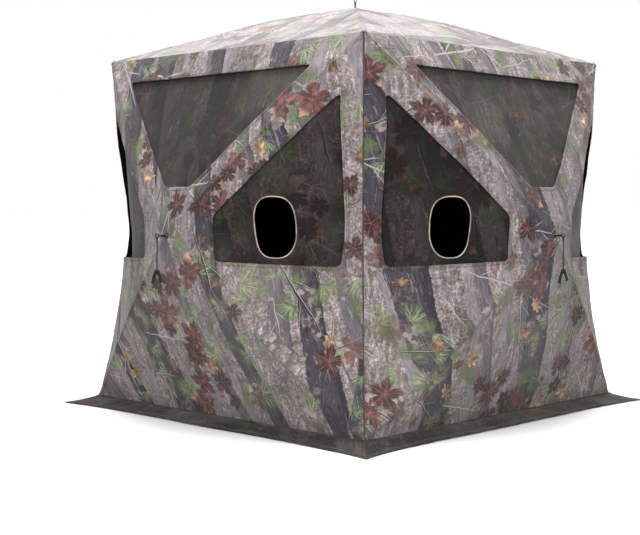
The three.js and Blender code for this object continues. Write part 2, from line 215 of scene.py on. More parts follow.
def wall_point(u, v, n, wall):
    """A point of a wall by its place along it, up its plane and out of it."""
    y = CENTRE[1] + v * V_UP[1] + n * N_OUT[1]
    z = CENTRE[2] + v * V_UP[2] + n * N_OUT[2]
    return turn(np.stack(np.broadcast_arrays(u, y, z), -1), wall)


def wall_xyz(uq, v, depth=0.0, wall=0, relief=1.0):
    """Points of a wall's cloth. uq is the place along the wall before the seams draw it in."""
    uq, v = np.asarray(uq, float), np.asarray(v, float)
    pull, edge = shift(uq, v)
    n = BULGE * (1 - edge**POWER) - pull - depth + relief * wrinkles(uq, v, wall)
    u = uq - np.sign(uq) * (pull * math.cos(TILT) + depth * (SIDE_A * np.abs(uq)) ** 6)
    return wall_point(u, v, n - sag(uq, v, wall), wall)


def cloth_of(wall, deeper=lambda u, v: 0.0, relief=1.0):
    """A wall's cloth, or cloth deeper inside it, as a function of flat coordinates and depth."""
    return lambda u, v, depth=0.0: wall_xyz(u, v, depth + deeper(u, v), wall, relief)


def roof_xyz(x, y, depth=0.0):
    edge = np.maximum(np.abs(x), np.abs(y)) / TOP
    fade = clip((1 - edge) / 0.08) * clip(edge / 0.08)
    off_pole = clip(np.abs(np.abs(x) - np.abs(y)) / 0.1)
    z = EAVE + (PEAK - EAVE) * (1 - edge**POWER) + ROOF_EASE * np.sin(np.pi * clip(edge / 0.62))
    z = z + (0.004 * waves(x, y, 71, 0.4) * off_pole + 0.0015 * waves(x, y, 72, 0.15)) * fade
    return np.stack([x, y, z - 0.006 * off_pole * clip((1 - edge) / 0.2) * edge - depth], -1)


def skirt_xyz(a, b, depth=0.0, wall=0):
    """The ground skirt. a runs along the wall, b outwards from its fold."""
    s = a / BASE
    out = b / (SKIRT - BASE)
    y = BASE + (SKIRT + SKIRT_REACH * np.abs(s) ** 8 - BASE) * out
    z = SKIN + (FOLD - SKIN) * clip(1 - out) ** 1.3
    free = clip(1.0 - np.abs(s) ** 6)
    z = z + 0.0045 * (1 + waves(a, b * 2.5, 91 + wall, 0.22)) * np.sin(np.pi * clip(out)) * free
    z = z + 0.0022 * (1 + waves(a, b, 95 + wall, 0.11)) * out**2 * free
    y = y + 0.005 * waves(a, b * 0, 97 + wall, 0.5) * out * free
    return turn(np.stack([s * y, -y, z - depth + 0.0012], -1), wall)


# ---- outlines ----------------------------------------------------------------------------------
def resample(points, step, closed=True):
    """Points along a polyline, no further apart than step, keeping its corners."""
    pts = np.array(points, float)
    out = []
    for a, b in zip(pts, np.roll(pts, -1, 0) if closed else pts[1:]):
        count = max(1, math.ceil(np.linalg.norm(b - a) / step))
        out += [tuple(a + (b - a) * j / count) for j in range(count)]
    return out if closed else out + [tuple(pts[-1])]


def rounded(points, radius, steps=5):
    """A polygon with its corners rounded off."""
    pts = np.array(points, float)
    out = []
    for p, a, b in zip(pts, np.roll(pts, 1, 0) - pts, np.roll(pts, -1, 0) - pts):
        r = min(radius, 0.4 * np.linalg.norm(a), 0.4 * np.linalg.norm(b))
        for t in np.arange(steps + 1) / steps:
            out.append(tuple(p + unit(a) * r * (1 - t) ** 2 + unit(b) * r * t**2))
    return out


def grown(points, distance):
    """A convex polygon moved outwards."""
    pts = np.array(points, float)
    nxt = np.roll(pts, -1, 0)
    area = 0.5 * np.sum(pts[:, 0] * nxt[:, 1] - nxt[:, 0] * pts[:, 1])
    d = unit(nxt - pts)
    normal = np.sign(area) * np.stack([d[:, 1], -d[:, 0]], 1)
    off = (normal * pts).sum(1) + distance
    return [
        tuple(np.linalg.solve([normal[i - 1], normal[i]], [off[i - 1], off[i]]))
        for i in range(len(pts))
    ]


def inside(points, polygon):
    """Which points lie in a polygon, by counting the edges beside them."""
    (x, y), poly = points.T, np.array(polygon)
    hit = np.zeros(len(points), bool)
    for (xi, yi), (xj, yj) in zip(poly, np.roll(poly, 1, 0)):
        if yi != yj:
            hit ^= ((yi > y) != (yj > y)) & (x < (xj - xi) * (y - yi) / (yj - yi) + xi)
    return hit


def distance_to(points, polygon):
    poly = np.array(polygon)
    best = np.full(len(points), np.inf)
    for a, b in zip(poly, np.roll(poly, -1, 0)):
        d = b - a
        t = clip(((points - a) @ d) / max(d @ d, 1e-12))
        best = np.minimum(best, np.linalg.norm(points - (a + t[:, None] * d), axis=1))
    return best


def triangulate(outline, holes, step):
    """Vertices and triangles of a flat region, filled with an even grid of points."""
    lo, hi = np.min(outline, 0), np.max(outline, 0)
    pts = []
    for r, y in enumerate(np.arange(lo[1], hi[1], step * 0.866)):
        xs = np.arange(lo[0] + (r % 2) * step / 2, hi[0], step)
        pts.append(np.stack([xs, np.full(len(xs), y)], 1))
    pts = np.concatenate(pts)
    keep = inside(pts, outline) & (distance_to(pts, outline) > step * 0.45)
    for hole in holes:
        keep &= ~inside(pts, hole) & (distance_to(pts, hole) > step * 0.45)
    edges, verts = [], []
    for loop in (outline, *holes):
        first, n = len(verts), len(loop)
        verts += [tuple(p) for p in loop]
        edges += [(first + i, first + (i + 1) % n) for i in range(n)]
    verts += [tuple(p) for p in pts[keep]]
    made = delaunay_2d_cdt([Vector(v) for v in verts], edges, [], 0, 1e-7)
    co = np.array([tuple(v) for v in made[0]])
    tri = np.array([f for f in made[2] if len(f) == 3])
    mid = co[tri].mean(1)
    good = inside(mid, outline)
    for hole in holes:
        good &= ~inside(mid, hole)
    tri = tri[good]
    a, b, c = np.moveaxis(co[tri], 1, 0)
    area = np.cross(b - a, c - a)
    tri, area = tri[np.abs(area) > 1e-12], area[np.abs(area) > 1e-12]
    tri[area < 0] = tri[area < 0][:, ::-1]
    return co, tri


# ---- mesh building -----------------------------------------------------------------------------
class Piece:
    """Collects faces with materials and two UV maps: the print in metres, and the seam's
    length and across."""

    def __init__(self, name):
        self.name, self.co, self.faces, self.slots = name, [], [], []
        self.uv, self.count, self.materials = {"print": [], "seam": []}, 0, []

    def add(self, co, faces, material, print_uv, seam_uv=None):
        if material not in self.materials:
            self.materials.append(material)
        self.co.append(np.asarray(co, float))
        self.faces += [[int(i) + self.count for i in f] for f in faces]
        self.slots += [self.materials.index(material)] * len(faces)
        self.uv["print"].append(np.asarray(print_uv, float))
        self.uv["seam"].append(np.asarray(print_uv if seam_uv is None else seam_uv, float))
        self.count += len(co)

    def build(self):
        mesh = bpy.data.meshes.new(self.name)
        mesh.from_pydata(np.concatenate(self.co).tolist(), [], self.faces)
        for m in self.materials:
            mesh.materials.append(m)
        mesh.polygons.foreach_set("material_index", self.slots)
        loops = np.zeros(len(mesh.loops), np.int32)
        mesh.loops.foreach_get("vertex_index", loops)
        for layer, data in self.uv.items():
            made = mesh.uv_layers.new(name=layer)
            made.data.foreach_set("uv", np.concatenate(data)[loops].astype(np.float32).ravel())
        mesh.update()
        mesh.polygons.foreach_set("use_smooth", [True] * len(mesh.polygons))
        return in_scene(self.name, mesh)


def in_scene(name, data):
    obj = bpy.data.objects.new(name, data)
    bpy.context.scene.collection.objects.link(obj)
    return obj


def attach(piece, body, nodes=(), towards=None):
    """Builds a piece. It rides on a body, or, given towards, stays where it is built, its transform baked into
    its mesh.
    """
    obj = piece.build()
    if towards:
        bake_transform(obj)
    else:
        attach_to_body(obj, body)
    if nodes:
        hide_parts(*nodes)


def quads(rows, columns, rows_meet=False, columns_meet=False):
    """The faces of a grid of points numbered row by row."""
    return [
        (i * columns + j, i * columns + (j + 1) % columns,
         (i + 1) % rows * columns + (j + 1) % columns, (i + 1) % rows * columns + j)
        for i in range(rows if rows_meet else rows - 1)
        for j in range(columns if columns_meet else columns - 1)
    ]


def caps(rows, columns):
    """The two ends of a tube of points numbered row by row."""
    return [tuple(range(columns))[::-1], tuple((rows - 1) * columns + j for j in range(columns))]


def normals_of(co, tri):
    n = np.zeros_like(co)
    a, b, c = np.moveaxis(co[tri], 1, 0)
    for i in range(3):
        np.add.at(n, tri[:, i], np.cross(b - a, c - a))
    return unit(n)


def add_sheet(piece, outline, holes, surface, front, back, shift_uv=(0, 0), depth=0.0, step=GRID):
    """A closed thin cloth sheet over a flat region, with one material outside and one inside."""
    flat, tri = triangulate(outline, holes, step)
    co = surface(flat[:, 0], flat[:, 1], depth)
    uv = flat + np.array(shift_uv)
    inner = co - normals_of(co, tri) * CLOTH
    piece.add(co, tri, front, uv)
    piece.add(inner, tri[:, ::-1], back, uv)
    pairs = np.concatenate([tri[:, [0, 1]], tri[:, [1, 2]], tri[:, [2, 0]]])
    have = {tuple(p) for p in pairs.tolist()}
    rim = sorted((a, b) for a, b in have if (b, a) not in have)
    used = sorted({i for e in rim for i in e})
    place = {i: j for j, i in enumerate(used)}
    k = len(used)
    faces = [(place[b], place[a], place[a] + k, place[b] + k) for a, b in rim]
    blank = np.zeros((2 * k, 2))
    piece.add(np.concatenate([co[used], inner[used]]), faces, front, np.tile(uv[used], (2, 1)), blank)


RIBBON = [(-0.5, -0.3), (-0.47, 0.9), (-0.3, 1.1), (0, 1.0), (0.3, 1.1), (0.47, 0.9), (0.5, -0.3)]


def add_ribbon(piece, path, width, lift, surface, material, closed=False, section=RIBBON, uv=(0, 0)):
    """A flat tape sewn on the cloth along a path in the cloth's flat coordinates."""
    pts = np.array(path, float)
    ahead = np.roll(pts, -1, 0) if closed else np.concatenate([pts[1:], pts[-1:]])
    behind = np.roll(pts, 1, 0) if closed else np.concatenate([pts[:1], pts[:-1]])
    along = unit(ahead - behind)
    side = np.stack([along[:, 1], -along[:, 0]], 1)
    flat = [pts + side * across * width for across, _ in section]
    rows = [surface(f[:, 0], f[:, 1], -lift * up) for f, (_, up) in zip(flat, section)]
    seams = [np.stack([run_of(pts), np.full(len(pts), across * width)], 1) for across, _ in section]
    co, flat, seams = (np.stack(x, 1).reshape(-1, x[0].shape[1]) for x in (rows, flat, seams))
    faces = quads(len(pts), len(section), closed)
    piece.add(co, faces, material, flat + np.array(uv), seams)


def add_tube(piece, path, radius, material, sides=10, closed=False):
    """A round cord along points in space, its ends capped."""
    pts = np.array(path, float)
    n = len(pts)
    tangent = np.roll(pts, -1, 0) - np.roll(pts, 1, 0)
    if not closed:
        tangent[0], tangent[-1] = pts[1] - pts[0], pts[-1] - pts[-2]
    tangent = unit(tangent)
    normal = np.cross(tangent[0], UP if abs(tangent[0][2]) < 0.9 else X)
    radius = np.broadcast_to(radius, n)
    rings, uv = [], []
    for p, t, r, length in zip(pts, tangent, radius, run_of(pts)):
        normal = unit(normal - t * (normal @ t))
        rings += circle(p, normal, np.cross(t, normal), r, sides)
        uv += [(length, j / sides * FULL_TURN * r) for j in range(sides)]
    faces = quads(n, sides, closed, True) + ([] if closed else caps(n, sides))
    piece.add(rings, faces, material, uv)


STRAP = [(0.5, 0.3), (0.46, 0.5)]
STRAP = [(-x, y) for x, y in STRAP] + STRAP[::-1]
STRAP += [(x, -y) for x, y in STRAP[::-1]]


def add_strap(piece, path, face, width, thick, material, steps=6):
    """Flat webbing along a smooth path; face is the way its flat side looks."""
    pts = np.array(path, float)
    ends = np.concatenate([pts[:1], pts, pts[-1:]])
    curve = []
    for p0, p1, p2, p3 in zip(ends, ends[1:], ends[2:], ends[3:]):
        bend, twist = 2 * p0 - 5 * p1 + 4 * p2 - p3, 3 * p1 - p0 - 3 * p2 + p3
        for t in np.arange(steps) / steps:
            curve.append(0.5 * (2 * p1 + (p2 - p0) * t + bend * t**2 + twist * t**3))
    curve = np.array(curve + [pts[-1]])
    co, seam = [], []
    for p, d, run in zip(curve, unit(np.gradient(curve, axis=0)), run_of(curve)):
        f = unit(face - d * (face @ d))
        w = np.cross(d, f)
        co += [p + w * x * width + f * y * thick for x, y in STRAP]
        seam += [(run, x * width) for x, _ in STRAP]
    n, m = len(curve), len(STRAP)
    piece.add(co, quads(n, m, False, True) + caps(n, m), material, seam)


def frame_at(origin, z, x):
    """A place and three square directions: z as given, x as near as can be."""
    z = unit(z)
    x = unit(x - z * np.dot(x, z))
    return np.array(origin, float), x, np.cross(z, x), z


def placed(local, at):
    return at[0] + np.asarray(local, float) @ np.array(at[1:])


def add_turned(piece, profile, material, at, segments=28):
    """A turned part: profile is (radius, height) along the frame's z, starting and ending on it."""
    turns = [FULL_TURN * j / segments for j in range(segments)]
    co = [(r * math.cos(a), r * math.sin(a), h) for r, h in profile for a in turns]
    faces = []
    for a, b, c, d in quads(len(profile), segments, False, True):
        if profile[a // segments][0] < 1e-6:
            faces.append((a, c, d))
        elif profile[d // segments][0] < 1e-6:
            faces.append((a, b, d))
        else:
            faces.append((a, b, c, d))
    uv = [(math.atan2(y, x) * 0.02, z) for x, y, z in co]
    piece.add(placed(co, at), faces, material, uv)


def rod(*spans):
    """A turned profile of (radius, height) points, closed on its axis at both ends."""
    return [(0, spans[0][1]), *spans, (0, spans[-1][1])]


def add_block(piece, size, centre, material, at, bevel=0.0015):
    """A box with chamfered edges."""
    sx, sy, sz = (s / 2 for s in size)
    b = min(bevel, sx * 0.4, sy * 0.4, sz * 0.4)
    co = []
    for z, inset in ((-sz, b), (b - sz, 0), (sz - b, 0), (sz, b)):
        x, y = sx - inset, sy - inset
        corner = [(x - b, -y), (x, b - y), (x, y - b), (x - b, y)]
        corner += [(-p, -q) for p, q in corner]
        co += [(p + centre[0], q + centre[1], z + centre[2]) for p, q in corner]
    uv = [(x, y + z) for x, y, z in co]
    piece.add(placed(co, at), quads(4, 8, False, True) + caps(4, 8), material, uv)


# ---- materials ---------------------------------------------------------------------------------
def srgb(r, g, b):
    return [((c / 255 + 0.055) / 1.055) ** 2.4 if c > 10 else c / 255 / 12.92 for c in (r, g, b)] + [1]


def operator(operation, swapped=False):
    """A method that adds a maths node, for a number or a vector."""
    def apply(self, other=0.0):
        a, b = (other, self) if swapped else (self, other)
        return self.graph.math(operation, a, b, vector=self.socket.type in ("VECTOR", "RGBA"))
    return apply


class Value:
    """A shader node's output, which can be used in sums."""

    def __init__(self, graph, socket):
        self.graph, self.socket = graph, socket

    __add__ = __radd__ = operator("ADD")
    __mul__ = __rmul__ = operator("MULTIPLY")
    __sub__, __rsub__ = operator("SUBTRACT"), operator("SUBTRACT", True)
    __truediv__, __pow__, __abs__ = operator("DIVIDE"), operator("POWER"), operator("ABSOLUTE")
    sin, cos, most = operator("SINE"), operator("COSINE"), operator("MAXIMUM")


class Graph:
    """A short way to write shader nodes: every call adds a node and returns its output."""

    def __init__(self, name):
        self.material = bpy.data.materials.new(name)
        self.material.use_nodes = True
        self.tree = self.material.node_tree
        self.tree.nodes.clear()
        shader = self.node("BsdfPrincipled", {})
        self.inputs = shader.socket.node.inputs
        self.node("OutputMaterial", {0: shader}, None)

    def node(self, kind, values, output=0, **settings):
        made = self.tree.nodes.new("ShaderNode" + kind)
        for key, value in settings.items():
            setattr(made, key, value)
        for key, value in values.items():
            self.put(made.inputs[key], value)
        return None if output is None else Value(self, made.outputs[output])

    def put(self, socket, value):
        if isinstance(value, Value):
            self.tree.links.new(value.socket, socket)
        else:
            socket.default_value = value

    def math(self, operation, a, b=0.0, vector=False):
        if vector and not isinstance(b, (tuple, Value)):
            b = (b, b, b)
        kind = "VectorMath" if vector else "Math"
        return self.node(kind, {0: a, 1: b}, operation=operation)

    def uv(self, layer):
        return self.node("UVMap", {}, uv_map=layer)

    def parts(self, v):
        """A vector's three numbers."""
        made = self.node("SeparateXYZ", {0: v}).socket.node
        return [Value(self, socket) for socket in made.outputs]

    def join(self, x, y, z=0.0):
        return self.node("CombineXYZ", {0: x, 1: y, 2: z})

    def polar(self, v):
        """A vector's x, y, length and angle."""
        x, y, _ = self.parts(v)
        return x, y, self.node("VectorMath", {0: v}, "Value", operation="LENGTH"), self.math("ARCTAN2", y, x)

    def noise(self, v, scale, detail=3.0, rough=0.55, distortion=0.0, output="Fac"):
        values = {"Vector": v, "Scale": scale, "Detail": detail, "Roughness": rough}
        return self.node("TexNoise", values | {"Distortion": distortion}, output)

    def stray(self, p, scale, amount=1.0):
        """A smooth random vector round zero."""
        return (self.noise(p, scale, 2.0, output="Color") - (0.5, 0.5, 0.5)) * amount

    def cells(self, v, scale, randomness=1.0):
        """Scattered cells: the middle of the one a point lies in, and three random numbers of it."""
        values = {"Vector": v, "Scale": scale, "Randomness": randomness}
        middle = self.node("TexVoronoi", values, "Position", voronoi_dimensions="2D")
        return middle, self.parts(Value(self, middle.socket.node.outputs["Color"]))

    def step(self, value, low, high):
        """Rises smoothly from 0 to 1 as a value goes from low to high."""
        values = {"Value": value, "From Min": low, "From Max": high}
        return self.node("MapRange", values, interpolation_type="SMOOTHSTEP")

    def above(self, value, limit):
        return self.step(value, limit - 0.01, limit + 0.01)

    def mix(self, amount, a, b, kind="MIX"):
        return self.node("Mix", {0: amount, 6: a, 7: b}, 2, data_type="RGBA", blend_type=kind)

    def ramp(self, value, stops):
        """Colours along a value; each stop is a place and a colour's red, green and blue."""
        made = self.node("ValToRGB", {0: value})
        elements = made.socket.node.color_ramp.elements
        while len(elements) < len(stops):
            elements.new(0.5)
        for element, (at, *color) in zip(elements, stops):
            element.position, element.color = at, srgb(*color)
        return made

    def rotate(self, v, angle):
        return self.node("VectorRotate", {"Vector": v, "Angle": angle}, rotation_type="Z_AXIS")

    def bump(self, height, strength, distance):
        values = {"Strength": strength, "Distance": distance, "Height": height}
        self.put(self.inputs["Normal"], self.node("Bump", values))

    def finish(self, color, rough, metal=0.0, specular=0.5):
        values = {"Base Color": color, "Roughness": rough, "Metallic": metal}
        for key, value in (values | {"Specular IOR Level": specular}).items():
            self.put(self.inputs[key], value)
        return self.material


def leaf_layer(g, p, size, spacing, shape, keep, patch_scale, patch_at):
    """A scatter of leaves: one to a cell, each turned its own way, bunched in patches."""
    middle, tone = g.cells(p, 1 / spacing, 0.85)
    local = g.rotate(p - middle, tone[0] * FULL_TURN)
    wobble = g.noise(p, 26.0, 2.0)
    if shape == "oak":
        x, y, r, angle = g.polar(local * (1.0, 1.8, 1.0))
        lobes = (angle * 7.0).cos() * 0.20 + 0.76
        rib = abs(y)
    else:
        x, y, r, angle = g.polar(local)
        lobes = abs((angle * 2.5).cos()) ** 1.1 * 0.58 + 0.42 + (angle * 15.0).cos() * 0.10
        rib = r * abs((angle * 2.5).sin())
    lobes = wobble * 0.5 + (lobes - 0.25)
    field = lobes * (tone[2] * (size * 0.4) + size * 0.75) - r
    present = g.above(tone[1], keep) * g.above(g.noise(middle, patch_scale, 1.0), patch_at)
    body = g.step(field, -0.0008, 0.0012) * present
    shade = g.step(field, -0.014, 0.002) * present
    return body, shade, tone[2], 1.0 - g.step(rib, 0.0008, 0.0026), wobble, x * (0.5 / size) + 0.5


# A twig's stem and its forks: start, angle, middle and half length as shares of the stem, width.
TWIG = (
    (0.0, 0.0, 0.0, 1.0, 1.0), (0.15, 0.62, 0.25, 0.25, 0.7),
    (-0.25, -0.55, 0.275, 0.275, 0.75), (0.45, -0.7, 0.175, 0.175, 0.5),
)


def twig_layer(g, p, spacing, length, width, keep):
    """Nearly straight forked twigs, one to a cell: the wood, the lit edge beside it, the pale ones."""
    p = p + g.stray(p, 7.0, 0.035)
    middle, tone = g.cells(p, 1 / spacing, 0.8)
    local = g.rotate(p - middle, tone[0] * 2.2 - 0.4)
    wood, lit = [], []
    for start, angle, mid, half, thick in TWIG:
        x, y, _ = g.parts(g.rotate(local - (start * length, 0, 0), angle))
        taper = 1.0 - (abs(x - mid * length) / (half * length)) ** 2.0
        w = taper * (width * thick)
        wood.append(w - abs(y))
        lit.append(w * 0.45 - abs(y - w))
    present = g.above(tone[1], keep)
    wood, lit = (g.step(reduce(Value.most, x), -0.0003, 0.0006) * present for x in (wood, lit))
    return wood, lit, g.step(tone[2], 0.70, 0.75)


def trunk_layer(g, p, spacing, lean, half, seed, keep):
    """Leaning trunks side by side: where they are, the place across each one, and across them all."""
    x, y, _ = g.parts(p)
    across = y * lean + x + g.noise(p, 1.1, 1.0) * 0.26
    row = across * (1 / spacing) + seed
    middle, tone = g.cells(g.join(row, y * 0.13), 1.0, 0.75)
    rough = g.noise(p, 34.0, 4.0, 0.7) * 0.030 - 0.015
    offset = (row - g.parts(middle)[0]) * spacing + rough
    share = offset / (tone[1] * half + 0.45 * half)
    return (1.0 - g.step(abs(share), 0.93, 1.0)) * g.above(tone[2], keep), share, across


def bark(g, across, up, dark, light, bright):
    """Upright bark: long plates with dark cracks between them. Returns its colour."""
    plates = g.noise(g.join(across * 62.0, up * 8.0), 1.0, 5.0, 0.72, 0.6)
    return g.ramp(plates, [(0.36, *dark), (0.47, *light), (0.55, *dark), (0.66, *bright)])


def pine_layer(g, p, spacing, keep, patch_at):
    """Fans of pine needles, one to a cell: the needles, the shade under them, and a tone."""
    p = p + g.stray(p, 14.0, 0.02)
    middle, tone = g.cells(p, 1 / spacing)
    _, _, r, angle = g.polar(g.rotate(p - middle, tone[0] * FULL_TURN))
    strands = g.noise(g.join(angle * 9.0, r * 16.0, tone[1] * 40.0), 1.0, 3.0, 0.75)
    tips = g.step(strands * (0.5 * spacing) + r, 0.45 * spacing, 0.92 * spacing)
    present = g.above(tone[1], keep) * g.above(g.noise(middle, 2.4, 2.0), patch_at)
    fan = g.step(angle.cos(), -0.45, 0.35) * (1.0 - tips) * present
    return fan * g.step(strands, 0.46, 0.56), fan, strands * 0.7 + tone[2] * 0.4


def overlay(g, color, amount, value, low, high, spread=0.15):
    """Lays noise over a colour, darker and lighter round its middle."""
    stops = [(0.5 - spread, low, low - 3, low - 2), (0.5, 128, 126, 126)]
    stops.append((0.5 + spread, high, high - 3, high - 4))
    return g.mix(amount, color, g.ramp(value, stops), "OVERLAY")


GROUND = [
    (0.32, 124, 114, 112), (0.43, 174, 164, 160), (0.52, 196, 187, 184),
    (0.60, 160, 150, 145), (0.72, 206, 200, 200),
]
# spacing, lean, half width, seed, share left out, dark, light and bright bark, strength
TRUNKS = (
    (0.21, 0.22, 0.030, 3.37, 0.45, (96, 88, 92), (140, 133, 138), (172, 166, 170), 0.75),
    (0.34, 0.30, 0.034, 8.61, 0.40, (58, 53, 58), (104, 98, 104), (138, 132, 138), 0.90),
    (0.62, 0.26, 0.070, 5.13, 0.25, (24, 21, 27), (66, 62, 72), (118, 114, 126), 0.98),
)
LITTER = [
    (0.0, 48, 40, 38), (0.3, 118, 102, 94), (0.55, 70, 58, 56),
    (0.75, 172, 160, 150), (1.0, 88, 58, 54),
]
NEEDLES = [(0.35, 66, 82, 46), (0.52, 104, 122, 72), (0.68, 150, 164, 118)]
# spacing, length, width, share left out, place
TWIGS = (
    (0.42, 0.26, 0.0040, 0.35, (1.3, 7.1, 0)),
    (0.19, 0.12, 0.0019, 0.50, (8.3, 2.9, 0)),
    (0.27, 0.18, 0.0026, 0.50, (4.7, 5.5, 0)),
)
# size, spacing, shape, share left out, the size and share of its patches, place, colours
LEAVES = (
    (0.050, 0.120, "oak", 0.50, 2.6, 0.560, (2.1, 6.3, 0),
     [(0.0, 98, 72, 50), (0.5, 140, 106, 74), (1.0, 190, 156, 114)]),
    (0.056, 0.100, "maple", 0.35, 2.4, 0.565, (7.9, 1.2, 0),
     [(0.0, 54, 30, 33), (0.6, 82, 44, 46), (1.0, 104, 62, 60)]),
    (0.078, 0.155, "maple", 0.35, 2.0, 0.560, (3.3, 8.8, 0),
     [(0.0, 64, 32, 32), (0.5, 92, 48, 45), (1.0, 120, 72, 64)]),
)


def woodland(g, p):
    """The print: a generic woodland scene of bark, trunks, twigs, pine sprays and dead leaves."""
    warp = g.stray(p, 1.4)
    x, y, _ = g.parts(p + warp * 0.22)
    up = g.parts(p)[1]

    # pale ground, stippled and streaked
    color = g.ramp(g.noise(g.join(x, y), 4.2, 5.0, 0.64), GROUND)
    color = overlay(g, color, 0.70, g.noise(g.join(x * 52.0, y * 12.0), 1.0, 5.0, 0.75), 52, 205)
    color = overlay(g, color, 0.70, g.noise(p, 80.0, 4.0, 0.8), 36, 215)

    # dry grass and brush, as crossing dark strands
    for angle, move in ((0.35, (2.2, 0.7, 0)), (-0.5, (9.1, 3.3, 0))):
        a, b, _ = g.parts(g.rotate(g.join(x, y) + move, angle))
        strand = abs(g.noise(g.join(a * 30.0, b * 5.0), 1.0, 2.0, 0.5) - 0.5)
        thick = g.step(g.noise(p + move, 3.0, 3.0), 0.46, 0.58)
        amount = (1.0 - g.step(strand, 0.004, 0.020)) * thick * 0.62
        color = g.mix(amount, color, srgb(66, 58, 58))

    # far trunks in the haze, then near ones
    for spacing, lean, half, seed, keep, dark, light, bright, strength in TRUNKS:
        there, share, across = trunk_layer(g, p, spacing, lean, half, seed, keep)
        wood = bark(g, across, up, dark, light, bright)
        wood = g.mix(g.step(abs(share + 0.25), 0.55, 1.15) * 0.75, wood, srgb(*dark))
        color = g.mix(there * strength, color, wood)

    # litter of small dead leaves
    scraps = g.ramp(g.cells(p + warp * 0.1, 46.0)[1][0], LITTER)
    color = g.mix(g.step(g.noise(p, 5.2, 4.0, 0.65), 0.55, 0.60) * 0.60, color, scraps)

    # pine sprays
    for spacing, keep, move in ((0.165, 0.05, (1.7, 4.1, 0)), (0.110, 0.15, (6.3, 2.2, 0))):
        needle, fan, tone = pine_layer(g, p + move, spacing, keep, 0.515)
        color = g.mix(fan * 0.60, color, srgb(60, 74, 42))
        color = g.mix(needle * 0.85, color, g.ramp(tone, NEEDLES))

    # twigs and branches
    for spacing, length, width, keep, move in TWIGS:
        wood, lit, pale = twig_layer(g, p + move, spacing, length, width, keep)
        color = g.mix(lit * 0.75, color, srgb(206, 199, 196))
        color = g.mix(wood * 0.92, color, g.mix(pale, srgb(38, 32, 34), srgb(150, 142, 142)))

    for *settings, move, stops in LEAVES:
        body, shade, tone, rib, wobble, side = leaf_layer(g, p + move, *settings)
        color = g.mix(shade * 0.6, color, srgb(34, 27, 28))
        leaf = overlay(g, g.ramp(tone, stops), 0.75, wobble, 30, 235, 0.18)
        leaf = g.mix(g.step(side, 0.78, 0.97) * 0.55, leaf, srgb(204, 158, 118))
        leaf = g.mix(rib * 0.5, leaf, srgb(168, 124, 108))
        color = g.mix(body * 0.97, color, leaf)
    return color


THREAD_PITCH = 0.0026
STITCH, STITCH_LINE, PUCKER = 0.0046, 0.0045, 0.017


def weave(g, p, pitch):
    """A fine over-and-under cloth texture, as height."""
    x, y, _ = g.parts(p)
    return (x * (FULL_TURN / pitch)).sin() * (y * (FULL_TURN / pitch)).sin()


def cloth_height(g, p):
    """Weave plus the small creases that cloth keeps from being packed."""
    fold = 1.0 - g.step(abs(g.noise(p, 2.6, 3.0, 0.5, 0.8) - 0.5), 0.0, 0.03)
    return fold * 0.12 + (g.noise(p, 5.0, 4.0, 0.55, 1.2) * 1.6 + weave(g, p, THREAD_PITCH) * 0.05)


def camo_material(name, tint, saturation=1.0, roughness=0.82, stitched=False, fade=0.0, contrast=1.0):
    g = Graph(name)
    p = g.uv("print")
    color = woodland(g, p)
    # fade mixes the print towards pale grey: painted light, used to make the roof paler as if lit from above
    if fade:
        color = g.mix(fade, color, srgb(214, 210, 216))
    # contrast is a gamma above 1, which darkens the print's middle tones: with a darker tint, painted shade on
    # the skirt and the window panels
    if contrast != 1.0:
        color = g.node("Gamma", {"Color": color, "Gamma": contrast})
    color = g.node("HueSaturation", {"Saturation": saturation, "Color": color})
    color = g.mix(1.0, color, srgb(*tint), "MULTIPLY")
    dust = g.step(g.noise(p, 1.7, 4.0, 0.6), 0.45, 0.75)
    color = g.mix(dust * 0.10, color, srgb(168, 158, 148))
    height = cloth_height(g, p)
    if stitched:
        run, across, _ = g.parts(g.uv("seam"))
        line = 1.0 - g.step(abs(abs(across) - STITCH_LINE), 0.0004, 0.0011)
        thread = line * g.step((run * (FULL_TURN / STITCH)).sin(), -0.5, -0.2)
        color = g.mix(line * 0.35, color, srgb(40, 36, 34))
        color = g.mix(thread * 0.85, color, srgb(62, 54, 46))
        height = (run * (FULL_TURN / PUCKER)).sin() * 0.12 + (thread * 0.35 + height)
    g.bump(height, 0.55, 0.0035)
    g.put(g.inputs["Sheen Weight"], 0.12)
    return g.finish(color, g.noise(p, 40.0, 2.0) * 0.12 + (roughness - 0.06), 0.0, 0.28)


def mottled(g, p, scale, detail, dark, light, worn, low, high, amount):
    """A colour between two shades, rubbed paler in places. Returns its mottle too."""
    mottle = g.noise(p, scale, detail, 0.6)
    color = g.mix(g.step(mottle, 0.3, 0.7), srgb(*dark), srgb(*light))
    return mottle, g.mix(g.step(worn, low, high) * amount, color, srgb(*light))


def plain_cloth(name, dark, light, layer="print", pitch=THREAD_PITCH, rough=0.8, strength=0.5):
    """Woven cloth or webbing in one dye: uneven colour, ribs and weave."""
    g = Graph(name)
    p = g.uv(layer)
    worn = g.noise(p, 60.0, 3.0, 0.7)
    mottle, color = mottled(g, p, 9.0, 5.0, dark, light, worn, 0.62, 0.8, 0.25)
    g.bump(g.noise(p, 14.0, 3.0) * 0.9 + weave(g, p, pitch) * 0.3, strength, 0.0015)
    return g.finish(color, mottle * 0.2 + (rough - 0.1), 0.0, 0.3)


